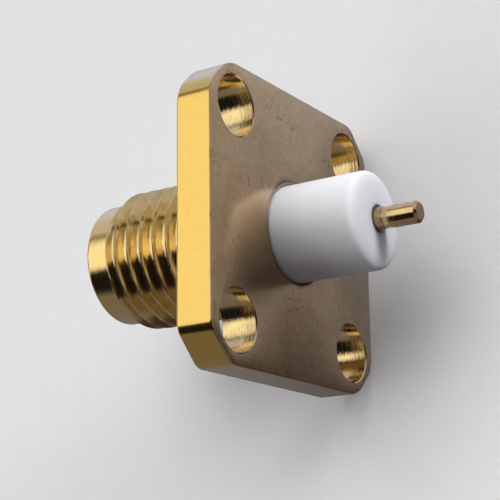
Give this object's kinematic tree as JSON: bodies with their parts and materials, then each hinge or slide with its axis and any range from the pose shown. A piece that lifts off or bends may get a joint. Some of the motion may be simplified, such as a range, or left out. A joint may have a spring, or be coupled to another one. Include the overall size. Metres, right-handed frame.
{
  "type": "coaxial panel connector",
  "caption": "Coaxial panel jack with a square screw flange, a threaded barrel, an insulator that stands out behind and a solder pin.",
  "frame": {"origin": "centre of the flange's rear face, which is its mounting face", "axes": "+Y along the connector's axis towards the solder pin, so the mating end faces -Y; X and Z run along the flange's sides"},
  "size_m": [0.0126, 0.0153, 0.0126],
  "materials": {
    "gold_plate": "satin gold plate over brass",
    "ptfe": "smooth white fluoropolymer"
  },
  "bodies": {
    "root": {"flange_body": "gold_plate", "insulator": "ptfe", "centre_contact": "gold_plate"}
  },
  "joints": []
}
